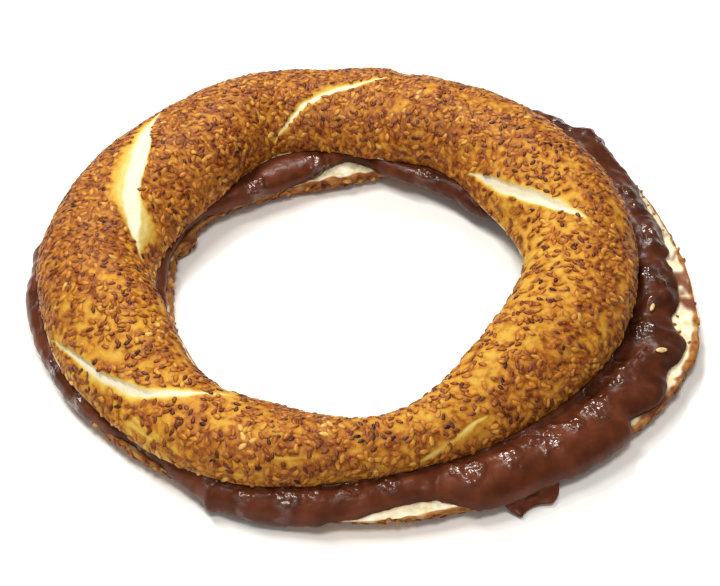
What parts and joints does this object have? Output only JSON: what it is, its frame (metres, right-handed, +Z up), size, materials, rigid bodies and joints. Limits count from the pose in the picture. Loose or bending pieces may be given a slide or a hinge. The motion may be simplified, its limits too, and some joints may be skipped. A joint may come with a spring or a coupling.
{
  "type": "sesame bread ring with chocolate filling",
  "caption": "Ring of sesame bread twisted from two strands, cut level into two halves and filled with chocolate spread that bulges and drips at the sides.",
  "frame": {"origin": "on the table, under the middle of the whole object's box", "axes": "+Z up, +X along the ring's longest way, where the base sticks out past the top, and +Y towards its wide far side"},
  "size_m": [0.187, 0.1697, 0.0273],
  "materials": {
    "top_crust": "egg-washed, golden brown and covered with toasted sesame",
    "chocolate": "glossy chocolate spread with pits and spatula marks",
    "base_crust": "matt browned crust with a cream crumb on its cut face"
  },
  "bodies": {
    "root": {"simit_top": "top_crust", "chocolate_spread": "chocolate", "simit_base": "base_crust"}
  },
  "joints": []
}
